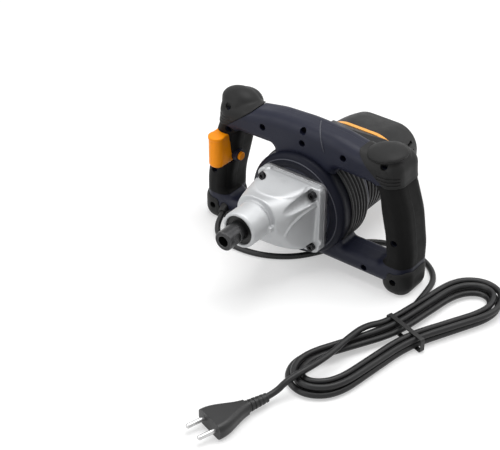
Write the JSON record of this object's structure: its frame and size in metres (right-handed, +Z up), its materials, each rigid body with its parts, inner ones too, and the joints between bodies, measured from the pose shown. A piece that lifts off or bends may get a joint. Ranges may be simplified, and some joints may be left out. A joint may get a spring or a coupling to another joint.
{
  "type": "mixing drill",
  "caption": "Two-handed mixing drill with a closed ring handle frame, trigger grip, alloy gear case, threaded spindle and rear motor cap, with its mains cord tied in a hank.",
  "frame": {"origin": "on the floor under the middle of the tool's own box, cord left out", "axes": "-Y along the spindle, out of the gear case's nose; +Z up; +X to the right grip, which has no trigger"},
  "size_m": [0.363, 0.4601, 0.1605],
  "materials": {
    "shell": "moulded, fine texture",
    "soft_grip": "soft matte",
    "pad": "moulded, matte",
    "housing": "moulded ribs",
    "cap": "moulded, fine texture",
    "orange": "smooth",
    "cast_alloy": "satin cast",
    "plate_alloy": "machined",
    "dark_steel": "blackened",
    "steel": "turned",
    "core_steel": "stacked sheets",
    "copper": "enamelled wire",
    "insulator": "moulded",
    "carbon": "pressed carbon",
    "bush": "sintered bronze",
    "seal": "smooth",
    "cord_rubber": "matte",
    "tie": "smooth"
  },
  "bodies": {
    "housing": {"brush_holders": "bush", "brush_plate": "insulator", "carbon_brushes": "carbon", "cord_clamp": "insulator", "cord_guard": "cord_rubber", "cord_hank": "cord_rubber", "cord_lead": "cord_rubber", "cord_tie": "tie", "fan_baffle": "insulator", "field_coils": "copper", "frame_front_shell": "shell", "frame_rear_shell": "shell", "gear_case": "cast_alloy", "gear_case_screws": "dark_steel", "gear_plate": "plate_alloy", "handle_screws": "dark_steel", "idler_front_bush": "bush", "idler_rear_bearing": "steel", "inner_plate": "plate_alloy", "left_foot_knob": "pad", "left_grip_cover": "soft_grip", "left_top_pad": "pad", "motor_front_bearing": "steel", "motor_housing": "housing", "motor_rear_bearing": "steel", "plug_body": "cord_rubber", "plug_pins": "steel", "rear_cap": "cap", "rear_cap_screws": "dark_steel", "right_foot_knob": "pad", "right_grip_cover": "soft_grip", "right_top_pad": "pad", "spindle_front_bearing": "steel", "spindle_rear_bush": "bush", "spindle_seal": "seal", "stator_core": "core_steel", "switch_body": "insulator", "trim_band": "orange"},
    "armature": {"armature_shaft": "steel", "armature_core": "core_steel", "armature_windings": "copper", "commutator": "copper", "cooling_fan": "insulator"},
    "idler": {"idler_shaft": "steel", "idler_gear": "steel"},
    "spindle": {"spindle": "dark_steel", "output_gear": "steel"},
    "trigger": {"trigger": "orange", "switch_plunger": "insulator"},
    "lock_button": {"lock_button": "orange"}
  },
  "joints": [
    {"name": "armature_spin", "type": "hinge", "parent": "housing", "child": "armature", "pos_m": [0, 0.035, 0.069], "axis": [0, -1, 0], "continuous": true},
    {"name": "idler_spin", "type": "hinge", "parent": "housing", "child": "idler", "pos_m": [0.01656, -0.05, 0.07872], "axis": [0, -1, 0], "continuous": true},
    {"name": "spindle_spin", "type": "hinge", "parent": "housing", "child": "spindle", "pos_m": [0, -0.105, 0.089], "axis": [0, -1, 0], "continuous": true},
    {"name": "trigger_press", "type": "slide", "parent": "housing", "child": "trigger", "axis": [0, 1, 0], "range_m": [0, 0.006], "stiffness_N_per_m": 600, "springref_m": -0.002},
    {"name": "lock_press", "type": "slide", "parent": "housing", "child": "lock_button", "axis": [-1, 0, 0], "range_m": [0, 0.003], "stiffness_N_per_m": 400, "springref_m": -0.002}
  ],
  "couplings": [
    {"joint": "idler_spin", "follows": "armature_spin", "ratio": -0.2},
    {"joint": "spindle_spin", "follows": "armature_spin", "ratio": 0.06}
  ]
}
